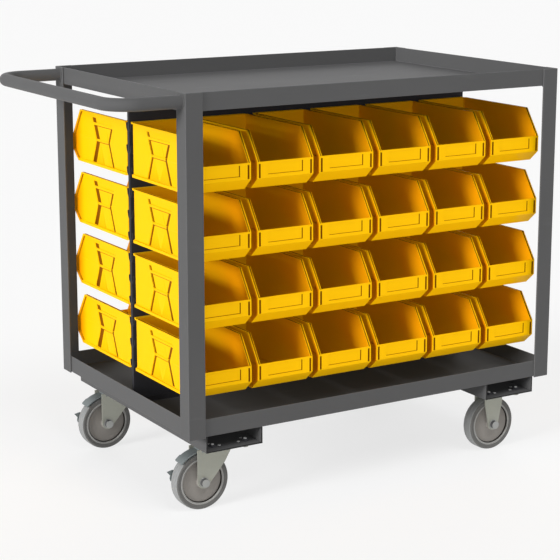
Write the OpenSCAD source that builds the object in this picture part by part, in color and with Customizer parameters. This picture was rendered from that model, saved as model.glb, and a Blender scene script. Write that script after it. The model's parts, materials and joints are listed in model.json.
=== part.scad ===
// Mobile bin cart: a steel cart with two trays, a double-sided louvered
// panel between them, hook-on bins on both sides, a tubular push handle,
// two braked swivel casters at the handle end and two rigid casters.
// Millimetres, +Z up, +X away from the handle, the front at -Y.
// The origin is on the floor under the middle of the whole outline.

/* [Cart frame] */
// Length of the frame over the corner posts
cart_l = 914.4; // [904:0.1:1000]
// Width of the frame over the corner posts
cart_w = 609.6; // [600:0.1:680]
// Height of the corner posts
post_h = 692; // [680:1:800]
// Width of each leg of the corner posts
post_leg = 38; // [30:0.5:44]
// Thickness of the corner posts
post_t = 3.2; // [2.5:0.1:5]

/* [Trays] */
// Height of the tray lips
tray_lip = 36.5; // [28:0.5:44]
// Sheet thickness of the trays
tray_t = 1.9; // [1.2:0.1:3]
// Height of the lower tray above the feet of the posts
tray_rise = 2; // [1:0.5:6]

/* [Push handle] */
// Outside diameter of the handle tube
handle_d = 26; // [20:0.5:32]
// Wall of the handle tube
handle_wall = 2.4; // [1.5:0.1:4]
// Centre line of the grip beyond the posts
handle_out = 142; // [110:1:180]
// Bend radius at the centre line
handle_bend = 55; // [40:1:80]
// Drop of the tube's centre below the post tops
handle_drop = 17.3; // [16:0.1:40]
// Distance of the tube's centre from the outer face of the posts
handle_inset = 17.8; // [16:0.1:24]

/* [Louvered panel] */
// Sheet thickness of the panels
panel_t = 1.5; // [1:0.1:2]
// Distance of a panel's outer face from the middle plane
panel_face = 4; // [3:0.1:5]
// Depth from the middle plane to the lip of a louver
louver_tip = 11.5; // [11:0.1:12.5]
// Height of one louver
louver_h = 18.5; // [16:0.5:22]
// Gap between two louvers in a row
louver_gap = 8; // [4:1:30]
// Depth of the foot flange on the lower tray
panel_foot = 30; // [20:1:45]

/* [Bins] */
// Width of a bin over its side flanges
bin_w = 131.5; // [110:0.5:139]
// Depth of a bin from its front to its back wall
bin_d = 265; // [220:1:275]
// Height of a bin
bin_h = 114.5; // [108:0.5:117]
// Wall of a bin
bin_wall = 2.4; // [1.8:0.1:3.2]
// Height of the front lip
bin_lip = 56; // [48:0.5:70]
// Depth over which the sides slope up from the front
bin_slope = 40; // [20:1:70]
// Height of the bevel at the foot of the front
toe_h = 22.5; // [15:0.5:26]
// Depth of the bevel at the foot of the front
toe_d = 26; // [15:0.5:40]
// Width of the flange around each side
flange_w = 4; // [3:0.5:6]
// Height of the flange band
flange_band = 6; // [4:0.5:8]
// Distance between the middles of two columns
col_pitch = 145.8; // [140:0.1:147]
// Distance between two rows
row_pitch = 138.7; // [136:0.1:145]
// Height of the lowest bins above the lower tray's floor
row_base = 67; // [40:1:80]
// Depth of the hook behind the back wall
hook_d = 9.5; // [9:0.1:9.8]
// Drop of the hook behind a louver
hook_drop = 12.4; // [8:0.2:13]
// Thickness of the hook
hook_t = 2.2; // [1.6:0.1:2.4]
// Depth of the heel under the back wall
heel_d = 2.5; // [1:0.1:2.6]
// Height of the heel
heel_h = 7; // [4:0.5:10]
// Width of the label recess
label_w = 81.5; // [50:0.5:100]
// Height of the label recess above the bin's foot
label_z = 29.5; // [27:0.5:40]
// Half length of the side's hourglass recess at its ends
waist_end = 54.5; // [40:0.5:70]
// Half length of the hourglass recess at its waist
waist_mid = 33.5; // [20:0.5:38]
// Height of the ribs that cross the recess
rib_h = 5; // [2:0.5:8]
// Depth of the side recess
recess_d = 1.6; // [0.6:0.1:1.6]

/* [Casters] */
// Diameter of the wheels
wheel_d = 121; // [100:1:150]
// Width of the tread
tread_w = 28; // [24:0.5:32]
// Diameter of the wheel core inside the tyre
core_d = 90; // [70:1:94]
// Diameter of the axle bolts
axle_d = 10; // [8:0.5:14]
// Distance from the swivel to the axle
trail = 42; // [34:1:48]
// Thickness of the fork legs
fork_t = 3; // [2:0.1:4]
// Width of a channel under the lower tray
channel_w = 130; // [124:1:150]
// Height of the channel below the feet of the posts
channel_drop = 33; // [25:1:50]
// Sheet thickness of the channels
channel_t = 3; // [2:0.1:4]
// Distance of the channels' middles from the ends of the frame
channel_inset = 105.5; // [104:0.5:140]
// Distance of the casters' middles from the front and the back
caster_inset = 77; // [70:1:110]
// Spacing of the caster bolts along the cart
bolt_span_x = 76; // [70:1:84]
// Spacing of the caster bolts across the cart
bolt_span_y = 98; // [90:1:110]
// Diameter of the caster bolts
bolt_d = 8; // [6:0.5:9]

/* [Hidden] */
$fn = 48;
bin_rows = 4;
bin_cols = 6;
seat_gap = 0.2;
run_gap = 0.05;
pivot_gap = 0.06;

// Heights, from the floor up
axle_z = wheel_d / 2;
crown_gap = 4;
crown_t = 3;
race_h = 5;
race_gap = 0.5;
upper_race_h = 4;
plate_t = 4;
crown_z = wheel_d + crown_gap;
race_z = crown_z + crown_t;
upper_race_z = race_z + race_h + race_gap;
plate_z = upper_race_z + upper_race_h;
channel_z = plate_z + plate_t;
post_z = channel_z + channel_drop;
lower_tray_z = post_z + tray_rise;
lower_floor_z = lower_tray_z + tray_t;
post_top_z = post_z + post_h;
upper_tray_z = post_top_z - tray_lip;

// Plan
handle_reach = handle_out + handle_d / 2;
cart_x = handle_reach / 2;
half_l = cart_l / 2;
half_w = cart_w / 2;
caster_x = half_l - channel_inset;
caster_y = half_w - caster_inset;

// Bins and louvers
bin_back = louver_tip + heel_d + 0.5;
bin_front = bin_back + bin_d;
body_w = bin_w - 2 * flange_w;
bins_span = (bin_cols - 1) * col_pitch + bin_w;
louver_pitch = row_pitch / 3;
louver_rows = 3 * bin_rows + 1;
row_z = [for (r = [1 : bin_rows]) lower_floor_z + row_base + (bin_rows - r) * row_pitch];
lip_top_z = row_z[0] + bin_h - hook_t - seat_gap;
louver_top_z = lip_top_z + louver_pitch;
flange_top = 3;
waist_u = 147.5;
waist_z = 56;
rib_top_z = bin_h - 11;
rib_z = bin_h - 24;
label_d = 0.8;
slot_w = 4.2;
slot_d = 1.6;
slot_z = toe_h + 1;
slot_inset = flange_w + 1.7;
lip_rest = 4;

// Wheels and forks
tyre_bond = 0.05;
tyre_round = 5;
core_w = tread_w - 6;
core_ring_w = tread_w - 2;
hub_d = 26;
side_gap = 0.5;
hub_w = tread_w + 5;
leg_in = hub_w / 2 + side_gap;
leg_out = leg_in + fork_t;
boss_r = axle_d / 2 + 8.5;
fork_lead = boss_r + 0.5;
fork_tail = trail + 22;
knee_x = fork_tail - 14;
knee_drop = 31;
tail_drop = 8;
crease_x = trail - 14;
crease_in = 2;
race_d = 56;
upper_race_d = 50;
kingpin_d = 12;
kingpin_nut_d = 20;
kingpin_nut_h = 8;
head_d = 15;
head_h = 5;
bolt_head_h = 5;
bolt_nut_h = 5;
bolt_hex_d = 15;
bolt_slack = 0.5;
plate_l = bolt_span_x + 24;
plate_w = bolt_span_y + 18;
rigid_top = 24;
rigid_straight = 27;
pedal_gap = 3;
pedal_t = 2.5;
pedal_w = tread_w;
pedal_in = wheel_d / 2 + pedal_gap;
pedal_out = pedal_in + pedal_t;
pedal_x = -2;
pedal_z = pedal_in + 2;
pedal_eye_r = 3.6;
pedal_pin_r = 2;
pedal_end = 137;
arm_in = tread_w / 2 + 1;
arm_t = 2.4;
arm_low = wheel_d / 2 - 9.5;
arm_h = 5.5;
toe_at = 161;
toe_reach = 10;
tail_at = 178;
spare_y = 32;
spare_x = 22;

bin_names = [for (r = [1 : bin_rows]) for (c = [1 : bin_cols]) str("bin_front_r", r, "c", c)];
rear_names = [for (r = [1 : bin_rows]) str("bins_rear_r", r)];

// Frame

// One corner post: an angle whose outer corner is at the frame's corner
module post(sx, sy) {
    color("#5c5c5e")
    translate([cart_x + sx * half_l, sy * half_w, post_z])
    linear_extrude(post_h)
    polygon([
        [0, 0], [-sx * post_leg, 0], [-sx * post_leg, -sy * post_t],
        [-sx * post_t, -sy * post_t], [-sx * post_t, -sy * post_leg], [0, -sy * post_leg]]);
}

// A tray: a flat floor with a lip on all four sides, inside the posts
module tray(z) {
    l = cart_l - 2 * post_t;
    w = cart_w - 2 * post_t;
    color("#66666a")
    translate([cart_x, 0, z])
    difference() {
        translate([-l / 2, -w / 2, 0])
        cube([l, w, tray_lip]);
        translate([-l / 2 + tray_t, -w / 2 + tray_t, tray_t])
        cube([l - 2 * tray_t, w - 2 * tray_t, tray_lip]);
    }
}

// The path of the handle tube, drawn with one radius
module handle_path(r, past) {
    leg = handle_out - handle_bend;
    grip = cart_w - 2 * handle_inset - 2 * handle_bend;
    for (s = [-1, 1]) {
        translate([past, s * (half_w - handle_inset), 0])
        rotate([0, -90, 0])
        cylinder(r = r, h = leg + past);
        translate([-leg, s * (half_w - handle_inset - handle_bend), 0])
        rotate([0, 0, s > 0 ? 90 : 180])
        rotate_extrude(angle = 90)
        translate([handle_bend, 0])
        circle(r);
    }
    translate([-handle_out, grip / 2, 0])
    rotate([90, 0, 0])
    cylinder(r = r, h = grip);
}

module push_handle() {
    color("#606062")
    translate([cart_x - half_l, 0, post_top_z - handle_drop])
    difference() {
        handle_path(handle_d / 2, 0);
        handle_path(handle_d / 2 - handle_wall, 1);
    }
}

// The section of a panel: a sheet with a foot, and louvers open at the top
function louver(z) = [
    [panel_face, z - louver_h], [louver_tip - 2.2, z - 0.62 * louver_h], [louver_tip, z],
    [louver_tip - panel_t, z], [louver_tip - panel_t - 2.1, z - 0.6 * louver_h],
    [panel_face, z - 0.86 * louver_h]];

function louver_points() = [
    for (k = [louver_rows - 1 : -1 : 0]) each louver(louver_top_z - k * louver_pitch)];

module panel(s) {
    span = bins_span / 2;
    color("#3c3c40")
    translate([cart_x, 0, 0])
    difference() {
        union() {
            rotate([90, 0, 90])
            translate([0, 0, -span])
            linear_extrude(2 * span)
            polygon([for (p = concat(
                [[panel_face - panel_t, lower_floor_z], [panel_face + panel_foot, lower_floor_z]],
                [[panel_face + panel_foot, lower_floor_z + panel_t]],
                [[panel_face, lower_floor_z + panel_t]],
                louver_points(),
                [[panel_face, upper_tray_z], [panel_face - panel_t, upper_tray_z]]))
                [s * p[0], p[1]]]);
            for (e = [-1, 1])
            translate([e > 0 ? span - panel_t : -span, s > 0 ? 0 : -panel_face, lower_floor_z])
            cube([panel_t, panel_face, upper_tray_z - lower_floor_z]);
        }
        for (c = [1 : bin_cols - 1])
        translate([(c - bin_cols / 2) * col_pitch - louver_gap / 2,
            s > 0 ? panel_face : -panel_face - 2 * louver_tip,
            louver_top_z - louver_rows * louver_pitch])
        cube([louver_gap, 2 * louver_tip, louver_rows * louver_pitch + 1]);
    }
}

// Bins

// A point list of the side's outline, from the front lip round to the slope
function side_outline() = [
    [0, bin_lip], [0, toe_h], [toe_d, 0], [bin_d, 0], [bin_d, bin_h], [bin_slope, bin_h]];

// The same outline drawn in by the flange band, and left open at the back
function flange_inner() = let (
    toe_n = norm([toe_h, toe_d]),
    rise = bin_h - bin_lip,
    slope_n = norm([rise, bin_slope]),
    b = flange_band,
    toe_u = (toe_h * toe_d + b * toe_n - toe_d * b) / toe_h,
    toe_z = (toe_h * toe_d + b * toe_n - toe_h * b) / toe_d,
    lip_z = bin_lip + (rise * b - b * slope_n) / bin_slope,
    top_u = (b * slope_n + bin_slope * (bin_h - flange_top - bin_lip)) / rise)
    [[b, lip_z], [b, toe_z], [toe_u, b], [bin_d + 1, b],
        [bin_d + 1, bin_h - flange_top], [top_u, bin_h - flange_top]];

// The hourglass recess of one side, crossed by two ribs
module side_recess() {
    difference() {
        polygon([
            [waist_u - waist_end, rib_top_z], [waist_u - waist_mid, waist_z],
            [waist_u - waist_end, flange_band], [waist_u + waist_end, flange_band],
            [waist_u + waist_mid, waist_z], [waist_u + waist_end, rib_top_z]]);
        for (z = [rib_z, waist_z])
        translate([waist_u - waist_end - 1, z - rib_h / 2])
        square([2 * waist_end + 2, rib_h]);
    }
}

// Stands a profile of depth and height on edge and gives it a width along X
module across(x, w) {
    translate([x, 0, 0])
    rotate([90, 0, 90])
    linear_extrude(w)
    children();
}

// The floor, front and back of a bin in one section, with hook and heel
module bin_wrap() {
    toe_n = norm([toe_h, toe_d]);
    toe_u = (toe_h * toe_d + bin_wall * toe_n - toe_d * bin_wall) / toe_h;
    toe_z = (toe_h * toe_d + bin_wall * toe_n - toe_h * bin_wall) / toe_d;
    across(-body_w / 2, body_w)
    polygon([
        [0, bin_lip], [0, toe_h], [toe_d, 0], [bin_d + heel_d, 0], [bin_d + heel_d, heel_h],
        [bin_d, heel_h], [bin_d, bin_h - hook_t], [bin_d + hook_d - hook_t, bin_h - hook_t],
        [bin_d + hook_d - hook_t, bin_h - hook_drop], [bin_d + hook_d, bin_h - hook_drop],
        [bin_d + hook_d, bin_h], [bin_d - bin_wall, bin_h], [bin_d - bin_wall, bin_wall],
        [toe_u, bin_wall], [bin_wall, toe_z], [bin_wall, bin_lip]]);
}

// One side wall at +X, with its recess and its flange
module bin_side() {
    across(body_w / 2 - bin_wall, bin_wall - recess_d)
    polygon(side_outline());
    across(body_w / 2 - recess_d, recess_d)
    difference() {
        polygon(side_outline());
        side_recess();
    }
    across(body_w / 2, flange_w)
    difference() {
        polygon(side_outline());
        polygon(flange_inner());
    }
}

module bin() {
    color("#f8c400")
    difference() {
        union() {
            bin_wrap();
            bin_side();
            mirror([1, 0, 0])
            bin_side();
        }
        translate([-label_w / 2, -1, label_z])
        cube([label_w, 1 + label_d, bin_lip - lip_rest - label_z]);
        for (s = [-1, 1])
        translate([s * (bin_w / 2 - slot_inset) - slot_w / 2, -1, slot_z])
        cube([slot_w, 1 + slot_d, bin_lip - lip_rest - slot_z]);
    }
}

function col_x(c) = cart_x + (c - (bin_cols + 1) / 2) * col_pitch;

module front_bin(r, c) {
    translate([col_x(c), -bin_front, row_z[r - 1]])
    bin();
}

module rear_row(r) {
    for (c = [1 : bin_cols])
    translate([col_x(c), bin_front, row_z[r - 1]])
    rotate([0, 0, 180])
    bin();
}

// Casters

module at_caster(sx, sy) {
    translate([cart_x + sx * caster_x, sy * caster_y, 0])
    children();
}

module bolt_places(span_x, span_y) {
    for (x = [-1, 1])
    for (y = [-1, 1])
    translate([x * span_x / 2, y * span_y / 2, 0])
    children();
}

// A channel across the cart under the lower tray, open at the top
module channel(sx) {
    len = cart_w - 2 * post_t;
    h = lower_tray_z - channel_z;
    color("#58585a")
    difference() {
        translate([cart_x + sx * caster_x - channel_w / 2, -len / 2, channel_z])
        difference() {
            cube([channel_w, len, h]);
            translate([channel_t, -1, channel_t])
            cube([channel_w - 2 * channel_t, len + 2, h]);
        }
        for (sy = [-1, 1])
        at_caster(sx, sy)
        translate([0, 0, channel_z - 1]) {
            bolt_places(bolt_span_x, bolt_span_y)
            cylinder(d = bolt_d + 2 * bolt_slack, h = channel_t + 2);
            bolt_places(2 * spare_x, bolt_span_y)
            cylinder(d = bolt_d + 2 * bolt_slack, h = channel_t + 2);
            bolt_places(bolt_span_x, 2 * spare_y)
            cylinder(d = bolt_d + 2 * bolt_slack, h = channel_t + 2);
        }
    }
}

// Hex bolts with their nuts, four to a caster
module caster_bolts() {
    color("#b4b6b2")
    for (sx = [-1, 1])
    for (sy = [-1, 1])
    at_caster(sx, sy)
    bolt_places(bolt_span_x, bolt_span_y) {
        translate([0, 0, plate_z - bolt_nut_h])
        cylinder(d = bolt_hex_d, h = bolt_nut_h, $fn = 6);
        translate([0, 0, plate_z - bolt_nut_h])
        cylinder(d = bolt_d, h = bolt_nut_h + plate_t + channel_t + bolt_head_h);
        translate([0, 0, channel_z + channel_t])
        cylinder(d = bolt_hex_d, h = bolt_head_h, $fn = 6);
    }
}

module plate_blank() {
    translate([-plate_l / 2, -plate_w / 2, plate_z])
    cube([plate_l, plate_w, plate_t]);
}

module plate_holes() {
    bolt_places(bolt_span_x, bolt_span_y)
    translate([0, 0, plate_z - 1])
    cylinder(d = bolt_d + 2 * bolt_slack, h = plate_t + 2);
}

// The fixed plate of a swivel caster, with the upper race under it
module swivel_plate(sy) {
    color("#9a9a90")
    at_caster(-1, sy)
    difference() {
        union() {
            plate_blank();
            translate([0, 0, upper_race_z])
            cylinder(d = upper_race_d, h = upper_race_h);
        }
        plate_holes();
        translate([0, 0, upper_race_z - 1])
        cylinder(d = kingpin_d + 2 * run_gap, h = upper_race_h + plate_t + 2);
    }
}

// The swivel pins, each with a nut under its fork
module kingpins() {
    color("#8c8c86")
    for (sy = [-1, 1])
    at_caster(-1, sy) {
        translate([0, 0, crown_z - race_gap - kingpin_nut_h])
        cylinder(d = kingpin_nut_d, h = kingpin_nut_h, $fn = 6);
        translate([0, 0, crown_z - race_gap - kingpin_nut_h])
        cylinder(d = kingpin_d, h = channel_z - crown_z + race_gap + kingpin_nut_h);
    }
}

// The side view of a swivel fork's leg, with the axle at the origin
module leg_side() {
    top = race_z - axle_z;
    ear = pedal_z + pedal_eye_r + 1;
    polygon([
        [-fork_lead, 0], [-fork_lead, ear], [pedal_x + pedal_eye_r + 3, ear],
        [pedal_x + pedal_eye_r + 5, top], [fork_tail, top], [fork_tail, top - tail_drop],
        [knee_x, top - knee_drop], [boss_r * 0.9, -boss_r * 0.43], [0, 0]]);
    circle(boss_r);
    translate([-fork_lead, -1])
    square([fork_lead, 2]);
}

// The plan of one leg at +Y: straight, then drawn in a little past the crease
module leg_plan() {
    polygon([
        [-fork_lead - 1, leg_in], [crease_x, leg_in], [fork_tail, leg_in - crease_in],
        [fork_tail, leg_out - crease_in], [crease_x, leg_out], [-fork_lead - 1, leg_out]]);
}

// Moves the origin from the swivel to the axle of a caster at the handle end
module at_axle(sy) {
    at_caster(-1, sy)
    translate([-trail, 0, axle_z])
    children();
}

module swivel_fork(sy) {
    crown_x = pedal_x + pedal_eye_r + 5;
    crown_side = leg_out - crease_in;
    color("#9c9c92")
    at_axle(sy)
    difference() {
        union() {
            for (s = [0, 1])
            mirror([0, s, 0])
            intersection() {
                rotate([90, 0, 0])
                translate([0, 0, -leg_out - 1])
                linear_extrude(leg_out + 1)
                leg_side();
                translate([0, 0, -wheel_d])
                linear_extrude(2 * wheel_d)
                leg_plan();
            }
            translate([0, 0, crown_z - axle_z])
            linear_extrude(crown_t)
            polygon([
                [crown_x, -leg_out], [crease_x, -leg_out], [fork_tail, -crown_side],
                [fork_tail, crown_side], [crease_x, leg_out], [crown_x, leg_out]]);
            translate([trail, 0, race_z - axle_z])
            cylinder(d = race_d, h = race_h);
        }
        translate([trail, 0, crown_z - axle_z - 1])
        cylinder(d = kingpin_d + 2 * run_gap, h = crown_t + race_h + 2);
        rotate([90, 0, 0])
        cylinder(d = axle_d + 2 * run_gap, h = 4 * leg_out, center = true);
        translate([pedal_x, 0, pedal_z])
        rotate([90, 0, 0])
        cylinder(r = pedal_pin_r + pivot_gap, h = 4 * leg_out, center = true);
    }
}

// An axle bolt: a round head at the front and a nut at the back
module axle() {
    rotate([90, 0, 0])
    translate([0, 0, -leg_out])
    cylinder(d = axle_d, h = 2 * leg_out);
    translate([0, -leg_out, 0])
    rotate([90, 0, 0])
    cylinder(d = head_d, h = head_h);
    translate([0, leg_out + head_h, 0])
    rotate([90, 0, 0])
    cylinder(d = head_d + 2, h = head_h, $fn = 6);
}

module swivel_axle(sy) {
    color("#b0b2ac")
    at_axle(sy)
    axle();
}

module rigid_axles() {
    color("#b0b2ac")
    for (sy = [-1, 1])
    at_caster(1, sy)
    translate([0, 0, axle_z])
    axle();
}

// A rigid fork: its plate and two legs, straight at the top and tapered to the axle
module rigid_fork(sy) {
    top = plate_z - axle_z;
    color("#9c9c92")
    at_caster(1, sy)
    difference() {
        union() {
            plate_blank();
            for (s = [-1, 1])
            translate([0, s > 0 ? leg_out : -leg_in, axle_z])
            rotate([90, 0, 0])
            linear_extrude(fork_t) {
                circle(boss_r);
                polygon([
                    [-boss_r, 0], [boss_r, 0], [rigid_top, top - rigid_straight], [rigid_top, top + 1],
                    [-rigid_top, top + 1], [-rigid_top, top - rigid_straight]]);
            }
        }
        plate_holes();
        translate([0, 0, axle_z])
        rotate([90, 0, 0])
        cylinder(d = axle_d + 2 * run_gap, h = 4 * leg_out, center = true);
    }
}

// A band about the wheel between two angles, drawn in the plane of the wheel
module wheel_band(r, t, from, to) {
    mid = (from + to) / 2;
    reach = 2 * (r + t);
    intersection() {
        difference() {
            circle(r + t);
            circle(r);
        }
        polygon([
            [0, 0], reach * [cos(from), sin(from)],
            reach * [cos(mid), sin(mid)], reach * [cos(to), sin(to)]]);
    }
}

// A point at a radius and an angle from the axle, in the plane of the wheel
function on_wheel(r, a) = r * [cos(a), sin(a)];

// The end of the pedal's arm: a pointed toe past the tread, and a tail below it
module pedal_toe() {
    rim = wheel_d / 2;
    polygon([
        on_wheel(arm_low, toe_at - 7), on_wheel(rim - 1, toe_at - 6.5), on_wheel(rim + toe_reach, toe_at),
        on_wheel(rim + 0.5, toe_at + 5.5), on_wheel(rim + 0.3, tail_at - 5), on_wheel(rim - 2, tail_at),
        on_wheel(arm_low, tail_at - 3), on_wheel(arm_low, toe_at + 3)]);
}

// The brake pedal: a curved shoe over the tread, an eye, and an arm with a
// toe beside the tread
module brake_pedal(sy) {
    cheek = pedal_end - 14;
    color("#8e948f")
    at_axle(sy)
    rotate([90, 0, 0]) {
        translate([0, 0, -pedal_w / 2])
        linear_extrude(pedal_w) {
            wheel_band(pedal_in, pedal_t, 92, pedal_end);
            translate([pedal_x, pedal_z])
            circle(pedal_eye_r);
        }
        translate([0, 0, 0.5 - arm_in - arm_t])
        linear_extrude(arm_in + arm_t - 0.5)
        wheel_band(pedal_in + 0.4, pedal_t - 0.8, cheek + 1, pedal_end - 2);
        translate([0, 0, -arm_in - arm_t])
        linear_extrude(arm_t) {
            wheel_band(arm_low + 0.5, pedal_out - arm_low - 1, cheek, pedal_end - 1);
            wheel_band(arm_low, arm_h, cheek + 1, toe_at - 2);
            pedal_toe();
        }
        translate([pedal_x, pedal_z, -leg_out])
        cylinder(r = pedal_pin_r, h = 2 * leg_out);
    }
}

// A wheel core turned in one piece, with hub, recessed disc and ring
module core() {
    r = core_d / 2;
    rotate([90, 0, 0])
    rotate_extrude()
    polygon([
        [axle_d / 2 + run_gap, -hub_w / 2], [hub_d / 2, -hub_w / 2], [hub_d / 2, -core_w / 2],
        [r - 5, -core_w / 2], [r - 4, -core_w / 2 + 3], [r - 2, -core_w / 2 + 3],
        [r - 2, -core_ring_w / 2], [r, -core_ring_w / 2],
        [r, core_ring_w / 2], [r - 2, core_ring_w / 2],
        [r - 2, core_w / 2 - 3], [r - 4, core_w / 2 - 3], [r - 5, core_w / 2],
        [hub_d / 2, core_w / 2], [hub_d / 2, hub_w / 2], [axle_d / 2 + run_gap, hub_w / 2]]);
}

// A tyre with rounded shoulders
module tyre() {
    r = wheel_d / 2;
    bore = core_d / 2 + tyre_bond;
    flat = tread_w / 2 - tyre_round;
    rotate([90, 0, 0])
    rotate_extrude($fn = 96)
    difference() {
        union() {
            translate([bore, -tread_w / 2])
            square([r - tyre_round - bore, tread_w]);
            translate([bore, -flat])
            square([r - bore, 2 * flat]);
            for (s = [-1, 1])
            translate([r - tyre_round, s * flat])
            circle(tyre_round);
        }
        translate([bore - tread_w, -tread_w])
        square([tread_w, 2 * tread_w]);
    }
}

module swivel_core(sy) {
    color("#868480")
    at_axle(sy)
    core();
}

module rigid_core(sy) {
    color("#868480")
    at_caster(1, sy)
    translate([0, 0, axle_z])
    core();
}

module swivel_tyre(sy) {
    color("#76767a")
    at_axle(sy)
    tyre();
}

module rigid_tyre(sy) {
    color("#76767a")
    at_caster(1, sy)
    translate([0, 0, axle_z])
    tyre();
}

post(-1, -1);  // post_front_left
post(1, -1);  // post_front_right
post(-1, 1);  // post_rear_left
post(1, 1);  // post_rear_right
tray(upper_tray_z);  // top_tray
tray(lower_tray_z);  // bottom_tray
push_handle();
panel(-1);  // louver_panel_front
panel(1);  // louver_panel_rear
channel(-1);  // channel_left
channel(1);  // channel_right
caster_bolts();
swivel_plate(-1);  // swivel_plate_front
swivel_plate(1);  // swivel_plate_rear
kingpins();
rigid_fork(-1);  // rigid_fork_front
rigid_fork(1);  // rigid_fork_rear
rigid_axles();
swivel_fork(-1);  // swivel_fork_front
swivel_fork(1);  // swivel_fork_rear
swivel_axle(-1);  // swivel_axle_front
swivel_axle(1);  // swivel_axle_rear
brake_pedal(-1);  // brake_pedal_front
brake_pedal(1);  // brake_pedal_rear
swivel_core(-1);  // swivel_core_front
swivel_core(1);  // swivel_core_rear
rigid_core(-1);  // rigid_core_front
rigid_core(1);  // rigid_core_rear
swivel_tyre(-1);  // swivel_tyre_front
swivel_tyre(1);  // swivel_tyre_rear
rigid_tyre(-1);  // rigid_tyre_front
rigid_tyre(1);  // rigid_tyre_rear
for (r = [1 : bin_rows])
for (c = [1 : bin_cols])
front_bin(r, c);
for (r = [1 : bin_rows])
rear_row(r);
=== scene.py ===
import json
import math

import bmesh
import bpy
from bpy.props import FloatProperty, FloatVectorProperty, IntProperty, PointerProperty
from mathutils import Matrix, Vector

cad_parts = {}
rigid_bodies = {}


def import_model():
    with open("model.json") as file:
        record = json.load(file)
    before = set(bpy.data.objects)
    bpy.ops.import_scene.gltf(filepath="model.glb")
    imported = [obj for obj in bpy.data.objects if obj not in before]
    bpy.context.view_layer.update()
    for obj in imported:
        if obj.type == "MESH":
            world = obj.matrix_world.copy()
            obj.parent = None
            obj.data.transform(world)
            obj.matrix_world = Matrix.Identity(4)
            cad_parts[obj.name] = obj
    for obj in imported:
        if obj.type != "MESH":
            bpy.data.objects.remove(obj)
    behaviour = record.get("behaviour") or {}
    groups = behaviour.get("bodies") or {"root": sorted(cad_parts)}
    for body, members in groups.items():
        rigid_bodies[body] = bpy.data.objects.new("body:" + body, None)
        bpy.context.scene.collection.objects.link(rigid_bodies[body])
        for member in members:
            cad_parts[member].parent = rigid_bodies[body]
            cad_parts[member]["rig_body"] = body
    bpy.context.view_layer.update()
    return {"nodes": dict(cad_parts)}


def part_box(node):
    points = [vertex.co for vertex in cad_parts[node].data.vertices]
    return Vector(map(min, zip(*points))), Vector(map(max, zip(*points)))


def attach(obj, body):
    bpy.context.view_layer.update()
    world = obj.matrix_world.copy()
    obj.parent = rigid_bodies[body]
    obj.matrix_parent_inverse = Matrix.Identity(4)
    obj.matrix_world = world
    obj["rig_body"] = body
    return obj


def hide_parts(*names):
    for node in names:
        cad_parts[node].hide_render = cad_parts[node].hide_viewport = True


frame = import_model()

bl_info = {
    "name": "Mobile bin cart",
    "version": (1, 0, 0),
    "blender": (4, 5, 0),
    "location": "3D View > Sidebar > Bin cart",
    "description": "Dresses the packed bin cart: paint, bins, handle, louvers, casters and studio",
    "category": "Object",
}

NODES = frame["nodes"]
ENDS = ("front", "rear")
BIN_ROWS = range(1, 5)
BIN_COLUMNS = range(1, 7)
MM = 0.001
WELD_RIPPLE = 0.10


def middle(node):
    low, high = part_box(node)
    return (low + high) / 2


def colour_prop(name, description, default):
    return FloatVectorProperty(
        name=name, description=description, subtype="COLOR", size=3, min=0.0, max=1.0, default=default)


def length_prop(name, description, default):
    return FloatProperty(name=name, description=description, unit="LENGTH", min=0.0, default=default)


def level_prop(name, description, default):
    return FloatProperty(name=name, description=description, min=0.0, default=default)


class CartPaint(bpy.types.PropertyGroup):
    """Colours of the painted steel"""
    frame_grey: colour_prop(
        "Frame grey", "Powder coat of posts, trays, handle and channels", (0.088, 0.088, 0.089))
    # Painted highlight: the rounded edges take a lighter grey that stands in for light caught along them.
    edge_highlight_grey: colour_prop("Worn edge", "Paint polished thin along the folded edges", (0.108, 0.108, 0.110))
    # Painted shade: the panels have the frame's powder coat, painted about a third as light for the shade
    # they stand in.
    panel_shaded_grey: colour_prop("Panel grey", "Powder coat of the louvered panels", (0.030, 0.030, 0.034))
    edge_round: length_prop("Edge round", "Radius on the edges of the folded sheet", 0.0011)
    weld_radius: length_prop("Weld radius", "Half width of the weld beads", 0.0018)


class BinFinish(bpy.types.PropertyGroup):
    """Shape and colour of the moulded bins"""
    yellow: colour_prop("Bin yellow", "Moulded plastic of the bins", (0.950, 0.520, 0.002))
    # Painted shade: the dark brown of the recess bands, the rim channels, the slots and one end of the label
    # recess.
    groove_shade: colour_prop(
        "Groove brown", "Bands along the recesses, where grime stays", (0.200, 0.058, 0.001))
    # Painted shade: thin amber lines under the ribs, along the label's foot and on the flange steps.
    line: colour_prop("Line amber", "Thin lines under the ribs and the label", (0.400, 0.150, 0.001))
    # Painted shade: the walls inside are a darker, redder copy of the bin yellow, and the floor and corners
    # are darker still.
    inside: colour_prop("Inside mustard", "Walls inside the bin", (0.860, 0.345, 0.002))
    # Painted shade: the undersides are a dark, dull copy of the yellow, so that they throw less light on the
    # tray below.
    under: colour_prop("Underside", "Flat undersides of the bins, dulled and darkened", (0.380, 0.250, 0.070))
    deep_shade: colour_prop("Settled dust", "Floor and corners inside the bin", (0.690, 0.385, 0.002))
    # Painted shade: the sides turn darker and redder towards the front of the bin.
    front_shade: colour_prop(
        "Front tint", "Side walls towards the front, rubbed by hands", (0.720, 0.250, 0.001))
    inner_round: length_prop("Inner round", "Fillet inside the bin between walls and floor", 0.005)
    edge_round: length_prop("Edge round", "Radius on the long outer edges", 0.0008)
    near_band: length_prop("Near band", "Dark band along the recess edge that stays whole", 0.0095)
    far_band: length_prop("Far band", "Dark band along the recess edge that the ribs break", 0.0062)
    near_front: length_prop("Near front band", "The whole band at the front end of the recess", 0.0105)
    far_front: length_prop("Far front band", "The broken band at the front end of the recess", 0.0150)


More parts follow.
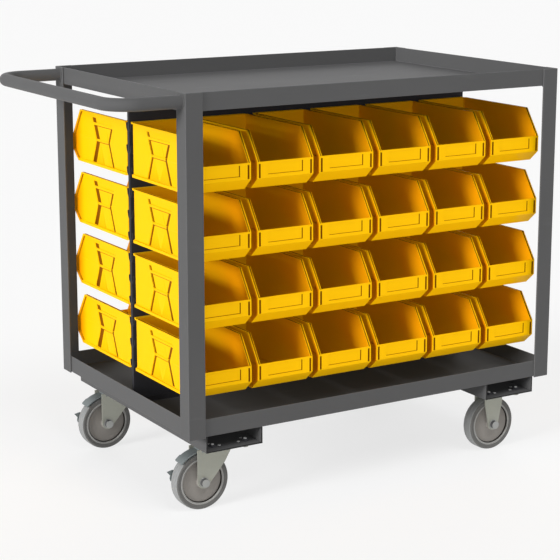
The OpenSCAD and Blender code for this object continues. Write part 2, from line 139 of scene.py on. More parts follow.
class CasterFinish(bpy.types.PropertyGroup):
    """Colours of the casters"""
    zinc: colour_prop("Zinc", "Plated forks and plates", (0.330, 0.335, 0.290))
    bright: colour_prop("Bright zinc", "Bolts, nuts and axles", (0.330, 0.335, 0.325))
    # Painted highlight: a near white grey for the bolt ends and the top rings of the insert rims.
    stud: colour_prop(
        "Stud ends", "Ends of the caster bolts and rims of the spare holes", (0.700, 0.700, 0.690))
    pedal: colour_prop("Pedal steel", "Brake pedals", (0.185, 0.208, 0.210))
    # Painted light: the tread is painted about twice as light as the flanks of the same tyre.
    tread: colour_prop("Tread grey", "Running surface of the tyres", (0.246, 0.249, 0.248))
    tyre: colour_prop("Tyre grey", "Flanks of the tyres", (0.128, 0.126, 0.121))
    # Painted highlight: the light ring of the tyre round the core.
    bead: colour_prop("Bead grey", "Ring of the tyre round the core", (0.285, 0.282, 0.271))
    core: colour_prop("Core grey", "Moulded wheel core", (0.248, 0.232, 0.214))
    # Painted shade: near black in the grooves of the wheels, at the tyre's inner edge and round the core's
    # rim.
    painted_shade: colour_prop("Shade", "Grooves of the wheels and gaps round the bolts", (0.030, 0.027, 0.024))
    segments: IntProperty(
        name="Wheel segments", description="Sides of the turned wheel pieces", default=96, min=24)


class Studio(bpy.types.PropertyGroup):
    """Camera, lamps and floor"""
    place: FloatVectorProperty(
        name="Camera place", description="Where the camera stands", subtype="TRANSLATION", size=3,
        default=(-1.8627, -3.1135, 1.2370))
    yaw: FloatProperty(name="Yaw", description="Turn of the camera from +Y to +X", default=31.081)
    pitch: FloatProperty(name="Pitch", description="Tilt of the camera below the horizon", default=12.063)
    lens: FloatProperty(name="Lens", description="Focal length in millimetres", default=107.78)
    shift: FloatProperty(name="Shift", description="Vertical shift of the frame", default=-0.05)
    side: level_prop("Side light", "Light on a surface that faces the side lamp", 1.06)
    high: level_prop("High light", "Light on a surface that faces the high lamp", 0.39)
    back: level_prop("Back light", "Light on a surface that faces the back lamp", 0.52)
    even: level_prop("Even light", "Light from above that casts no shadow", 0.12)
    fill: level_prop("Fill light", "Light from the floor ahead that casts no shadow", 0.28)
    sky: level_prop("Sky", "Even light from all round", 0.22)
    floor: colour_prop("Floor", "Pale floor", (0.80, 0.80, 0.80))


class Wire:
    """An output socket of a node graph, so that shader maths reads as plain expressions."""

    def __init__(self, graph, socket):
        self.graph = graph
        self.socket = socket

    def output(self, key):
        """Another output of the same node."""
        return Wire(self.graph, self.socket.node.outputs[key])

    def maths(self, operation, first, second):
        return self.graph.node("ShaderNodeMath", {"operation": operation}, {0: first, 1: second})

    def __add__(self, other):
        return self.maths("ADD", self, other)

    __radd__ = __add__

    def __sub__(self, other):
        return self.maths("SUBTRACT", self, other)

    def __rsub__(self, other):
        return self.maths("SUBTRACT", other, self)

    def __mul__(self, other):
        return self.maths("MULTIPLY", self, other)

    __rmul__ = __mul__

    def over(self, low, high):
        """0 below low, 1 above high and a smooth rise between them."""
        return self.graph.node(
            "ShaderNodeMapRange", {"interpolation_type": "SMOOTHSTEP"},
            {"Value": self, "From Min": low, "From Max": high, "To Min": 0.0, "To Max": 1.0})


class Graph:
    """The nodes of a material or of the sky."""

    def __init__(self, owner):
        owner.use_nodes = True
        self.tree = owner.node_tree

    def node(self, kind, settings=None, sockets=None, output=0):
        made = self.tree.nodes.new(kind)
        for key, value in (settings or {}).items():
            setattr(made, key, value)
        for key, value in (sockets or {}).items():
            self.feed(made.inputs[key], value)
        return Wire(self, made.outputs[output])

    def feed(self, socket, value):
        if isinstance(value, Wire):
            self.tree.links.new(value.socket, socket)
        else:
            socket.default_value = value

    def split(self, vector):
        """The three numbers of a vector."""
        apart = self.node("ShaderNodeSeparateXYZ", {}, {0: vector})
        return tuple(apart.output(k) for k in range(3))

    def seen_directly(self):
        """1 on the rays that show the background: the camera's, and those that metal and glass send on."""
        path = self.node("ShaderNodeLightPath")
        camera, glossy = path.output("Is Camera Ray"), path.output("Is Glossy Ray")
        return camera + glossy + path.output("Is Transmission Ray")


class Finish(Graph):
    """A procedural material, built from one principled shader."""

    def __init__(self, name, **constants):
        self.material = bpy.data.materials.new(name)
        super().__init__(self.material)
        self.shader = self.tree.nodes["Principled BSDF"]
        for key, value in constants.items():
            self.shader.inputs[key.replace("_", " ")].default_value = value
        self.spot = self.node("ShaderNodeTexCoord", output="Object")

    def put(self, socket, value):
        self.feed(self.shader.inputs[socket], value)

    def cloud(self, scale, detail=2.0, rough=0.5, spot=None):
        return self.node(
            "ShaderNodeTexNoise", {},
            {"Vector": spot or self.spot, "Scale": scale, "Detail": detail, "Roughness": rough}, "Fac")

    def stretched(self, x, y, z):
        return self.node("ShaderNodeMapping", {}, {"Vector": self.spot, "Scale": (x, y, z)})

    def cells(self, scale):
        return self.node("ShaderNodeTexVoronoi", {}, {"Vector": self.spot, "Scale": scale}, "Color")

    def bin_spot(self):
        """A point's place across, along and up its own bin."""
        return self.split(self.node("ShaderNodeAttribute", {"attribute_name": "bin_spot"}, output="Vector"))

    def reach_y(self):
        """How far a point lies from the middle plane of the cart."""
        return self.node("ShaderNodeMath", {"operation": "ABSOLUTE"}, {0: self.split(self.spot)[1]})

    def mix(self, share, first, second):
        def full(value):
            return value if isinstance(value, Wire) else (*value, 1.0)
        return self.node(
            "ShaderNodeMix", {"data_type": "RGBA"}, {0: share, 6: full(first), 7: full(second)}, 2)

    def bump(self, height, distance, strength=1.0):
        return self.node(
            "ShaderNodeBump", {}, {"Height": height, "Distance": distance, "Strength": strength})


def shade(colour, times):
    return tuple(min(1.0, c * times) for c in colour)


def paint_finish(name, colour, rough, shaded_ends_at=None):
    """Powder coat: a fine orange peel, slow drifts of tone, a few dull rubs and dark cut ends, which are
    painted shade.
    """
    f = Finish(name, Specular_IOR_Level=0.06)
    drift = f.cloud(6.0, 3.0)
    peel = f.cloud(620.0, 2.0, 0.6)
    rubs = f.cloud(9.0, 4.0, 0.62, f.stretched(1.0, 6.0, 5.0)).over(0.60, 0.74)
    base = f.mix(drift, shade(colour, 0.94), shade(colour, 1.06))
    tone = f.mix(rubs * 0.35, base, shade(colour, 1.22))
    # Painted shade: near the given ends the coat darkens to 0.3 of its colour.
    if shaded_ends_at:
        tone = f.mix(f.reach_y().over(shaded_ends_at - 0.0012, shaded_ends_at - 0.0004), tone, shade(colour, 0.30))
    f.put("Base Color", tone)
    f.put("Roughness", rough + 0.10 * (drift - 0.5) + 0.08 * peel - 0.07 * rubs)
    f.put("Normal", f.bump(peel, 0.00012, 0.35))
    return f.material


def plastic_finish(name, colour, rough):
    """Moulded plastic: matt grain, faint flow marks and fine scuffs."""
    f = Finish(name, Specular_IOR_Level=0.03)
    flow = f.cloud(7.0, 3.0, 0.55, f.stretched(1.0, 0.45, 1.0))
    grain = f.cloud(1500.0, 2.0, 0.6)
    scuff = f.cloud(38.0, 5.0, 0.68, f.stretched(1.0, 0.16, 2.4)).over(0.60, 0.78)
    base = f.mix(flow, shade(colour, 0.965), shade(colour, 1.035))
    f.put("Base Color", f.mix(scuff * 0.10, base, shade(colour, 0.72)))
    f.put("Roughness", rough + 0.08 * (grain - 0.5) + 0.10 * scuff)
    f.put("Normal", f.bump(grain, 0.00006, 0.30))
    return f.material


def side_finish(name, colour, front):
    """The outer side of a bin: moulded plastic, painted darker and redder towards the front of the bin as
    painted shade.
    """
    f = Finish(name, Specular_IOR_Level=0.03)
    along = f.bin_spot()[1]
    flow = f.cloud(7.0, 3.0, 0.55, f.stretched(1.0, 0.45, 1.0))
    grain = f.cloud(1500.0, 2.0, 0.6)
    base = f.mix(flow, shade(colour, 0.965), shade(colour, 1.035))
    # Painted shade, fading out within about 5 cm of the front.
    f.put("Base Color", f.mix(1.0 - along.over(0.004, 0.048), base, front))
    f.put("Roughness", 0.44 + 0.08 * (grain - 0.5))
    f.put("Normal", f.bump(grain, 0.00006, 0.30))
    return f.material


def inside_finish(name, wall, deep_shade):
    """The inside of a bin: moulded plastic, painted darker towards the floor and the back, as painted shade.
    """
    f = Finish(name, Specular_IOR_Level=0.04)
    along, up = f.bin_spot()[1:]
    flow = f.cloud(9.0, 4.0, 0.6)
    grain = f.cloud(1500.0, 2.0, 0.6)
    low = 1.0 - up.over(0.004, 0.100)
    deep = along.over(0.010, 0.150)
    # Painted shade: darker low in the bin and towards its back.
    dust = (0.62 * low + 0.55 * deep + 0.25 * (flow - 0.5)).over(0.05, 0.95)
    f.put("Base Color", f.mix(dust, wall, deep_shade))
    f.put("Roughness", 0.50 + 0.10 * dust + 0.06 * grain)
    f.put("Normal", f.bump(grain, 0.00006, 0.30))
    return f.material


def zinc_finish(name, colour, rough, metal):
    """Plated steel: a soft spangle, a dull bloom and rolling marks."""
    f = Finish(name, Specular_IOR_Level=0.4, Metallic=metal)
    bloom = f.cloud(24.0, 4.0, 0.6)
    spangle = f.node("ShaderNodeSeparateColor", {}, {"Color": f.cells(260.0)}, 0)
    rolled = f.cloud(60.0, 2.0, 0.5, f.stretched(1.0, 1.0, 14.0))
    tone = f.mix(bloom, shade(colour, 0.90), shade(colour, 1.08))
    f.put("Base Color", f.mix(spangle * 0.16, tone, shade(colour, 1.22)))
    f.put("Roughness", rough + 0.14 * (bloom - 0.5) + 0.06 * spangle)
    f.put("Normal", f.bump(rolled, 0.00005, 0.25))
    return f.material


def bolt_finish(name, painted, plated, level):
    """Bolts painted with the channel above a level, in a grey darker than its coat that is partly painted
    shade inside the channel, with their plated nuts below it.
    """
    f = Finish(name, Specular_IOR_Level=0.2)
    bloom = f.cloud(24.0, 4.0, 0.6)
    peel = f.cloud(620.0, 2.0, 0.6)
    above = f.split(f.spot)[2].over(level - 0.001, level + 0.001)
    # Painted shade: above the level the bolts take a dark grey, darker than the channel's coat.
    dark = f.mix(bloom, shade(painted, 0.94), shade(painted, 1.06))
    bright = f.mix(bloom, shade(plated, 0.90), shade(plated, 1.08))
    f.put("Base Color", f.mix(above, bright, dark))
    f.put("Metallic", 0.35 - 0.35 * above)
    f.put("Roughness", 0.44 + 0.12 * (bloom - 0.5) + 0.06 * peel)
    f.put("Normal", f.bump(peel, 0.00008, 0.30))
    return f.material


def tyre_finish(name, colour):
    """Soft grey tread compound with fine dust in its grain."""
    f = Finish(name, Specular_IOR_Level=0.12)
    dust = f.cloud(30.0, 5.0, 0.62)
    grain = f.cloud(900.0, 3.0, 0.6)
    specks = f.cloud(240.0, 2.0, 0.5).over(0.66, 0.78)
    base = f.mix(dust, shade(colour, 0.90), shade(colour, 1.12))
    f.put("Base Color", f.mix(specks * 0.35, base, shade(colour, 0.66)))
    f.put("Roughness", 0.58 + 0.16 * (dust - 0.5) + 0.05 * grain)
    f.put("Normal", f.bump(grain, 0.0001, 0.35))
    return f.material


def finish(name):
    """Builds a finish the first time that a piece asks for it."""
    found = bpy.data.materials.get(name)
    if found:
        return found
    scene = bpy.context.scene
    paint, bins, casters = scene.cart_paint, scene.cart_bins, scene.cart_casters
    makers = {
        "frame_coat": lambda: paint_finish(name, paint.frame_grey, 0.46),
        # Painted highlight along the rounded edges of posts and trays.
        "frame_coat_edge_highlight": lambda: paint_finish(name, paint.edge_highlight_grey, 0.40),
        # The channels' ends are darkened: painted shade.
        "channel_coat": lambda: paint_finish(name, paint.frame_grey, 0.48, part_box("channel_left")[1].y),
        # The panels' coat, darker than the frame's: painted shade.
        "panel_coat": lambda: paint_finish(name, paint.panel_shaded_grey, 0.50),
        # Painted highlight on the louvers' rounded lips, over the panels' painted shade.
        "panel_coat_edge_highlight": lambda: paint_finish(name, shade(paint.panel_shaded_grey, 1.5), 0.44),
        "bin_plastic": lambda: plastic_finish(name, bins.yellow, 0.44),
        # Painted shade: the sides take the bin yellow at 0.92, a darker copy than the fronts'.
        "bin_side": lambda: side_finish(name, shade(bins.yellow, 0.92), bins.front_shade),
        "bin_groove_shade": lambda: plastic_finish(name, bins.groove_shade, 0.60),
        "bin_shade_line": lambda: plastic_finish(name, bins.line, 0.55),
        "bin_inside_shaded": lambda: inside_finish(name, bins.inside, bins.deep_shade),
        "bin_under": lambda: plastic_finish(name, bins.under, 0.60),
        "fork_zinc": lambda: zinc_finish(name, casters.zinc, 0.50, 0.35),
        "bolt_zinc_bright": lambda: zinc_finish(name, casters.bright, 0.36, 0.75),
        "bolt_dark_shade": lambda: bolt_finish(
            name, shade(paint.panel_shaded_grey, 1.2), casters.zinc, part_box("channel_left")[0].z - 0.002),
        "stud_highlight": lambda: zinc_finish(name, casters.stud, 0.44, 0.10),
        "pedal_zinc": lambda: zinc_finish(name, casters.pedal, 0.46, 0.35),
        "tyre_tread_lit": lambda: tyre_finish(name, casters.tread),
        "tyre_flank": lambda: tyre_finish(name, casters.tyre),
        "tyre_bead_highlight": lambda: tyre_finish(name, casters.bead),
        "wheel_shade": lambda: tyre_finish(name, casters.painted_shade),
        "core_grey": lambda: plastic_finish(name, casters.core, 0.50),
    }
    return makers[name]()


def coat(obj, *names):
    """Puts finishes in an object's material slots, in order."""
    if obj.data.materials:
        obj.data.materials.clear()
    for name in names:
        obj.data.materials.append(finish(name))


def soften(obj, width, segments=2, edge_slot=-1, angle=35.0):
    """Joins a solid's faces, rounds its sharp edges and evens its shading, all as modifiers."""
    weld = obj.modifiers.new("weld", "WELD")
    weld.merge_threshold = 0.00001
    flat = obj.modifiers.new("flat faces", "DECIMATE")
    flat.decimate_type = "DISSOLVE"
    flat.angle_limit = math.radians(0.3)
    bevel = obj.modifiers.new("edge round", "BEVEL")
    bevel.width = width
    bevel.segments = segments
    bevel.limit_method = "ANGLE"
    bevel.angle_limit = math.radians(angle)
    bevel.material = edge_slot
    bevel.use_clamp_overlap = True
    even = obj.modifiers.new("even shading", "WEIGHTED_NORMAL")
    even.keep_sharp = False
    even.weight = 80


def piece(name, bm, body, slot, *finishes, smooth_angle=35.0):
    """Turns a finished bmesh into a piece that rides on a body."""
    mesh = bpy.data.meshes.new(name)
    bmesh.ops.recalc_face_normals(bm, faces=bm.faces)
    bm.to_mesh(mesh)
    bm.free()
    mesh.polygons.foreach_set("use_smooth", [True] * len(mesh.polygons))
    mesh.set_sharp_from_angle(angle=math.radians(smooth_angle))
    obj = bpy.data.objects.new(name, mesh)
    bpy.context.scene.collection.objects.link(obj)
    coat(obj, *finishes)
    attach(obj, body)
    return obj


def sweep(bm, points, radius, sides=16, closed=False, caps=True, ripple=0.0, slot=0):
    """Sweeps a round section along points; ripple swells it from one point to the next."""
    path = [Vector(p) for p in points]
    count = len(path)
    normal = None
    rings = []
    for i, point in enumerate(path):
        ahead = path[(i + 1) % count] if closed or i < count - 1 else point
        behind = path[i - 1] if closed or i > 0 else point
        along = (ahead - behind).normalized()
        if normal is None:
            normal = along.orthogonal().normalized()
        normal = (normal - along * normal.dot(along)).normalized()
        other = along.cross(normal)
        r = radius * (1.0 + ripple * (i % 2))
        rings.append([
            bm.verts.new(point + r * (math.cos(a) * normal + math.sin(a) * other))
            for a in (2 * math.pi * k / sides for k in range(sides))])
    steps = count if closed else count - 1
    for i in range(steps):
        one, two = rings[i], rings[(i + 1) % count]
        for k in range(sides):
            face = bm.faces.new((one[k], one[(k + 1) % sides], two[(k + 1) % sides], two[k]))
            face.material_index = slot
    if caps and not closed:
        for ring in (rings[0], rings[-1]):
            bm.faces.new(ring).material_index = slot


def turn(bm, centre, profile, segments, slots=(), axis="Y"):
    """Turns a closed profile of (radius, offset along the axis) round an axis through centre."""
    lay = {
        "Y": lambda x, z, along: Vector((x, along, z)),
        "Z": lambda x, z, along: Vector((x, -z, along))}[axis]
    rings = []
    for k in range(segments):
        a = 2 * math.pi * k / segments
        rings.append([
            bm.verts.new(centre + lay(r * math.cos(a), r * math.sin(a), along)) for r, along in profile])
    size = len(profile)
    for k in range(segments):
        one, two = rings[k], rings[(k + 1) % segments]
        for i in range(size):
            j = (i + 1) % size
            face = bm.faces.new((one[i], one[j], two[j], two[i]))
            face.material_index = slots[i] if slots else 0


class BINCART_OT_frame(bpy.types.Operator):
    """Coats the posts and trays, rounds their edges and lays the welds under the top tray"""
    bl_idname = "bincart.frame"
    bl_label = "Posts and trays"

    def execute(self, context):
        paint = context.scene.cart_paint
        # Slot 1 is the lighter paint that the rounded edges take: painted highlight.
        for name in ("post_front_left", "post_front_right", "post_rear_left", "post_rear_right"):
            coat(NODES[name], "frame_coat", "frame_coat_edge_highlight")
            soften(NODES[name], paint.edge_round, 3, 1)
        for name in ("top_tray", "bottom_tray"):
            coat(NODES[name], "frame_coat", "frame_coat_edge_highlight")
            soften(NODES[name], 0.8 * paint.edge_round, 3, 1)
        self.lay_welds(paint.weld_radius)
        return {"FINISHED"}

    def lay_welds(self, radius):
        """Beads in the corners under the top tray, where it meets the posts."""
        bm = bmesh.new()
        low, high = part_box("top_tray")
        inset, start, reach, last = 0.4 * radius, 0.004, 0.030, 15
        ways = [start + reach * k / last for k in range(last + 1)]
        z = low.z - inset
        for x, sx in ((low.x, 1), (high.x, -1)):
            for y, sy in ((low.y, 1), (high.y, -1)):
                sweep(bm, [(x + sx * way, y + sy * inset, z) for way in ways], radius, 10, ripple=WELD_RIPPLE)
                sweep(bm, [(x + sx * inset, y + sy * way, z) for way in ways], radius, 10, ripple=WELD_RIPPLE)
        piece("tray_welds", bm, "cart_frame", "frame_paint", "frame_coat")


class BINCART_OT_handle(bpy.types.Operator):
    """Bends the tube of the push handle and welds it to the posts"""
    bl_idname = "bincart.handle"
    bl_label = "Push handle"
    bend, bend_steps, beads = 0.055, 20, 56

    def execute(self, context):
        low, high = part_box("push_handle")
        radius = (high.z - low.z) / 2
        z = (low.z + high.z) / 2
        grip_x = low.x + radius
        side_y = high.y - radius
        points = [(high.x, -side_y, z)]
        points += self.bow(grip_x, -side_y, z, -1)
        points += self.bow(grip_x, side_y, z, 1)
        points.append((high.x, side_y, z))
        bm = bmesh.new()
        sweep(bm, points, radius, 48)
        tube = piece("push_handle_tube", bm, "cart_frame", "frame_paint", "frame_coat", smooth_angle=60.0)
        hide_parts("push_handle")
        self.weld_ends(context.scene.cart_paint.weld_radius, high.x, side_y, z, radius)
        return {"FINISHED"}

    def bow(self, grip_x, side_y, z, side):
        """Points of one bend, in the order of travel round the handle."""
        bend = self.bend
        centre = Vector((grip_x + bend, side_y - side * bend, z))
        turns = [math.radians(90 * k / self.bend_steps) for k in range(self.bend_steps + 1)]
        made = [
            (centre.x - bend * math.sin(t), centre.y + side * bend * math.cos(t), z) for t in turns]
        return made if side < 0 else made[::-1]

    def weld_ends(self, bead, x, side_y, z, radius):
        """A bead round each end of the tube, half sunk into tube and post."""
        bm = bmesh.new()
        reach = radius + 0.2 * bead
        ring = [2 * math.pi * k / self.beads for k in range(self.beads)]
        for side in (-1, 1):
            points = [
                (x - 0.3 * bead, side * side_y + reach * math.cos(a), z + reach * math.sin(a)) for a in ring]
            sweep(bm, points, 0.8 * bead, 8, closed=True, ripple=WELD_RIPPLE)
        piece("handle_welds", bm, "cart_frame", "frame_paint", "frame_coat")


class BINCART_OT_panels(bpy.types.Operator):
    """Coats the louvered panels and rounds the lips of their louvers"""
    bl_idname = "bincart.panels"
    bl_label = "Louvered panels"

    def execute(self, context):
        for end in ENDS:
            node = NODES["louver_panel_" + end]
            # Slot 1 is the lighter paint on the rounded lips: painted highlight.
            coat(node, "panel_coat", "panel_coat_edge_highlight")
            soften(node, 0.0004, 2, 1)
        return {"FINISHED"}


class BinShape:
    """One moulded bin in its own frame: X across, Y from the front to the back, Z up."""

    wall, half, side = 0.0024, 0.06175, 0.06575
    deep, tall, lip = 0.265, 0.1145, 0.056
    recess, recess_low, recess_top = 0.0016, 0.006, 0.1035
    waist, waist_end, waist_mid = (0.1475, 0.056), 0.0545, 0.0335
    rib_levels, rib, rib_line, rib_band = (0.0905, 0.056), 0.005, 0.0022, 0.0062
    label_half, label_low, label_top = 0.04075, 0.0295, 0.052
    label_depth, label_band, label_line, label_edge = 0.0010, 0.002, 0.0012, 0.0001
    slot_in, slot_out, slot_low, slot_top, slot_depth = 0.0579, 0.0622, 0.0232, 0.0524, 0.0017
    recess_zone = (0.0598, 0.0619), (0.09, 0.205), (0.005, 0.105)
    label_zone = (-1.0, 0.042), (-1.0, 0.0012), (0.028, 0.0525)
    hair = 0.00002
    FINISHES = ("bin_plastic", "bin_groove_shade", "bin_shade_line", "bin_inside_shaded", "bin_side", "bin_under")
    PLASTIC, GROOVE, LINE, INSIDE, SIDE, UNDER = range(6)

    def __init__(self, bm, look):
        self.bm = bm
        self.bands = {
            ("near", 1): look.near_band, ("far", 1): look.far_band,
            ("near", -1): look.near_front, ("far", -1): look.far_front}
        bmesh.ops.remove_doubles(bm, verts=bm.verts, dist=0.000005)
        bmesh.ops.dissolve_limit(bm, angle_limit=math.radians(0.5), verts=bm.verts, edges=bm.edges)
        self.cut_rim()
        self.cut_recess()
        self.cut_waist_rib()
        self.cut_label()
        self.name_faces()
        self.fillet_inside(look.inner_round)
        self.round_edges(look.edge_round)

    def faces(self, test):
        return [f for f in self.bm.faces if test(f, f.calc_center_median())]

    def slice(self, faces, point, normal):
        """Cuts faces along a plane."""
        parts = set(faces)
        for f in faces:
            parts.update(f.edges)
            parts.update(f.verts)
        bmesh.ops.bisect_plane(self.bm, geom=list(parts), dist=0.000001, plane_co=point, plane_no=normal)

    def is_rim(self, f, c):
        on_slope = abs(f.normal.x) < 0.1 and f.normal.y < -0.3 and f.normal.z > 0.3
        on_top = f.normal.z > 0.99 and c.z > self.tall - self.hair
        return (on_slope or on_top) and c.z > self.lip + 0.001

    def cut_rim(self, inner=0.0608, outer=0.0632, depth=0.0012, back_gap=0.008):
        """A thin channel along the rim of each side, between wall and flange."""
        back = self.deep - back_gap
        for x in (-outer, -inner, inner, outer):
            self.slice(self.faces(self.is_rim), (x, 0, 0), (1, 0, 0))
        self.slice(self.faces(self.is_rim), (0, back, 0), (0, 1, 0))
        strip = self.faces(lambda f, c: self.is_rim(f, c) and inner < abs(c.x) < outer and c.y < back)
        walls = bmesh.ops.inset_region(
            self.bm, faces=strip, thickness=0.0001, depth=-depth, use_even_offset=True, use_boundary=True)
        self.channel = set(strip) | set(walls["faces"])

    def on_recess_floor(self, f, c):
        return f.normal.x * c.x > 0.0 and abs(f.normal.x) > 0.99 and \
            abs(abs(c.x) - self.half + self.recess) < self.hair

    def slants(self):
        """The slanted edges of the hourglass: which end and level, a point and the way into the recess."""
        along, up = self.waist
        for end in (-1, 1):
            for level in (self.recess_low, self.recess_top):
                edge = Vector((0, end * (self.waist_end - self.waist_mid), level - up)).normalized()
                inward = Vector((0, -edge.z, edge.y))
                yield end, level > up, Vector((0, along + end * self.waist_mid, up)), \
                    inward if inward.y * end < 0 else -inward

    def band_width(self, x, end):
        return self.bands["near" if x * end > 0 else "far", end]

    def cut_recess(self):
        """Cuts the bands of painted shade along the slanted edges and the lines of painted shade under the
        ribs.
        """
        for end, upper, point, inward in self.slants():
            for x in (-1, 1):
                edge = point + self.band_width(x, end) * inward
                self.slice(self.faces(self.on_recess_floor), edge, inward)
        for level in self.rib_levels:
            line = level - self.rib / 2 - self.rib_line
            self.slice(self.faces(self.on_recess_floor), (0, 0, line), (0, 0, 1))

    # Painted shade: dark bands along the slanted edges of the recess, thin lines under the ribs.
    def recess_finish(self, c):
        for end, upper, point, inward in self.slants():
            near = c.x * end > 0
            if (c.z > self.waist[1]) != upper or near and c.z > self.rib_levels[0]:
                continue
            if (c - point).dot(inward) < self.band_width(c.x, end):
                return self.GROOVE
        under = any(z - self.rib / 2 - self.rib_line < c.z < z for z in self.rib_levels)
        return self.LINE if under else self.SIDE

    def on_wall(self, f, c):
        return f.normal.x * c.x > 0.99 * abs(c.x) and abs(abs(c.x) - self.half) < self.hair

    def on_flange(self, f, c):
        return f.normal.x * c.x > 0.99 * abs(c.x) and abs(abs(c.x) - self.side) < self.hair

    def on_waist_rib(self, f, c):
        return self.on_wall(f, c) and abs(c.z - self.waist[1]) < self.rib / 2

    def on_flange_step(self, f, c):
        """The step from the flange down to the wall, along the slope, the front and the toe."""
        return abs(f.normal.x) < 0.1 and f.normal.y > 0.3 and c.y < 0.05 and \
            self.half + 0.001 < abs(c.x) < self.side - 0.001

    def on_foot_step(self, f, c):
        return f.normal.z > 0.9 and c.z < 0.02 and self.half + 0.001 < abs(c.x) < self.side - 0.001

    def cut_waist_rib(self):
        """Cuts the outer face of the waist rib where the near band runs over it."""
        for step in (-0.5, 0.0, 0.5):
            self.slice(self.faces(self.on_wall), (0, 0, self.waist[1] + step * self.rib), (0, 0, 1))
        for end, upper, point, inward in self.slants():
            for width in (0.0, self.rib_band):
                self.slice(self.faces(self.on_waist_rib), point + width * inward, inward)

    def on_near_line(self, f, c):
        return self.on_waist_rib(f, c) and any(
            c.x * end > 0 and (c.z > self.waist[1]) == upper
            and 0.0 < (c - point).dot(inward) < self.rib_band
            for end, upper, point, inward in self.slants())

    def on_label(self, c):
        edge = self.label_edge
        return edge < c.y < self.label_depth and abs(c.x) < self.label_half + edge and \
            self.label_low - edge < c.z < self.label_top + edge

    def on_label_band(self, c):
        return c.x > self.label_half - self.label_band

    def on_label_line(self, c):
        return c.z < self.label_low + self.label_line

    def cut_label(self):
        """Cuts a band along one end of the label recess and a line along its foot, which take painted shade.
        """
        band, line = self.label_half - self.label_band, self.label_low + self.label_line
        self.slice(self.faces(lambda f, c: self.on_label(c)), (band, 0, 0), (1, 0, 0))
        self.slice(self.faces(lambda f, c: self.on_label(c)), (0, 0, line), (0, 0, 1))

    def in_slot(self, c):
        return self.label_edge < c.y < self.slot_depth and self.slot_in < abs(c.x) < self.slot_out and \
            self.slot_low < c.z < self.slot_top

    def on_inside(self, f, c):
        within = abs(c.x) < self.half - self.wall + self.hair and c.z > self.wall - self.hair and \
            self.wall - self.hair < c.y < self.deep - self.wall + self.hair
        return within and f.normal.z > -0.1 and c.z < self.tall - self.hair and not self.is_rim(f, c)

    def on_underside(self, f, c):
        return f.normal.z < -0.99 and c.z < self.hair

    def name_faces(self):
        """Gives each face its finish by its place on the bin."""
        for f in self.bm.faces:
            c = f.calc_center_median()
            f.material_index = self.PLASTIC
            # Painted shade in the rim channels and the slots, and on the band over the waist rib.
            if f in self.channel or self.in_slot(c) or self.on_near_line(f, c):
                f.material_index = self.GROOVE
            # Painted shade: thin lines on the steps from the flange to the wall and at the foot.
            elif self.on_flange_step(f, c) or self.on_foot_step(f, c):
                f.material_index = self.LINE
            # Painted shade: the outer sides take the darker side copy of the yellow.
            elif self.on_wall(f, c) or self.on_flange(f, c):
                f.material_index = self.SIDE
            elif self.on_recess_floor(f, c):
                f.material_index = self.recess_finish(c)
            elif self.on_label(c):
                # Painted shade along one end and the foot of the label recess.
                if self.on_label_band(c):
                    f.material_index = self.GROOVE
                elif self.on_label_line(c):
                    f.material_index = self.LINE
            # Painted shade: the inside takes the darker inside copy of the yellow.
            elif self.on_inside(f, c):
                f.material_index = self.INSIDE
            # Painted shade on the flat undersides.
            elif self.on_underside(f, c):
                f.material_index = self.UNDER

    def bevel(self, edges, radius, segments):
        bmesh.ops.bevel(
            self.bm, geom=edges, offset=radius, offset_type="OFFSET", segments=segments, profile=0.5,
            affect="EDGES", clamp_overlap=True, material=-1)

    def fillet_inside(self, radius):
        self.bevel([
            e for e in self.bm.edges
            if len(e.link_faces) == 2 and not e.is_convex and e.calc_face_angle(0.0) > math.radians(20)
            and all(f.material_index == self.INSIDE for f in e.link_faces)], radius, 4)

    def in_zone(self, point, zone):
        """Whether a point lies between the limits of a zone across, along and up the bin."""
        place = abs(point.x), point.y, point.z
        return all(low < value < high for value, (low, high) in zip(place, zone))

    def is_long_edge(self, e):
        """A sharp outer edge, other than the short ones and those of the recesses and the back."""
        if len(e.link_faces) != 2 or not e.is_convex or e.calc_face_angle(0.0) < math.radians(28):
            return False
        if any(f.material_index in (self.GROOVE, self.LINE) for f in e.link_faces):
            return False
        one, two = (v.co for v in e.verts)
        mid = (one + two) / 2
        on_flange = all(abs(abs(p.x) - self.side) < self.hair for p in (one, two))
        small = (one - two).length <= 0.003 or mid.y > self.deep - 0.0005 or \
            self.in_zone(mid, self.recess_zone) or self.in_zone(mid, self.label_zone)
        return on_flange or not small

    def round_edges(self, radius):
        self.bevel([e for e in self.bm.edges if self.is_long_edge(e)], radius, 2)


